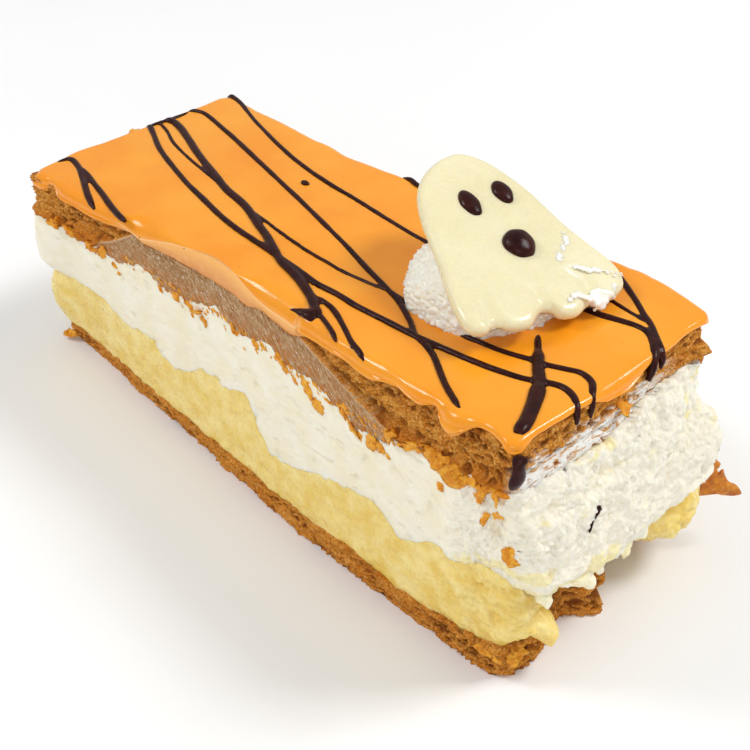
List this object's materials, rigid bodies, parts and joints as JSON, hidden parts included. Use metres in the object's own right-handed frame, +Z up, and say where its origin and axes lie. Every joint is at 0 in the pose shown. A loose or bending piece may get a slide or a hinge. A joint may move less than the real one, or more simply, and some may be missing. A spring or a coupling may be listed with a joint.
{
  "type": "mille feuille slice",
  "caption": "Cut slice of mille feuille: puff pastry sheets around custard and whipped cream, orange icing, chocolate drizzle and a white chocolate ghost on cream.",
  "frame": {"origin": "middle of the slice's underside, on the surface it stands on", "axes": "+X along the slice to the end with the torn filling, -Y to the long side with the clean cut, +Z up"},
  "size_m": [0.1437, 0.0598, 0.065],
  "materials": {
    "crust": "baked puff pastry, matt and flaky",
    "custard": "set custard, moist",
    "cream": "whipped cream, soft and matt",
    "icing": "poured sugar icing, glossy, with fused dark chocolate lines",
    "white_chocolate": "moulded white chocolate, satin",
    "chocolate": "dark chocolate, satin"
  },
  "bodies": {
    "root": {"bottom_pastry": "crust", "custard": "custard", "whipped_cream": "cream", "top_pastry": "crust", "crust_flake": "crust", "icing": "icing", "cream_dollop": "cream", "ghost": "white_chocolate", "ghost_eye_left": "chocolate", "ghost_eye_right": "chocolate", "ghost_mouth": "chocolate"}
  },
  "joints": []
}
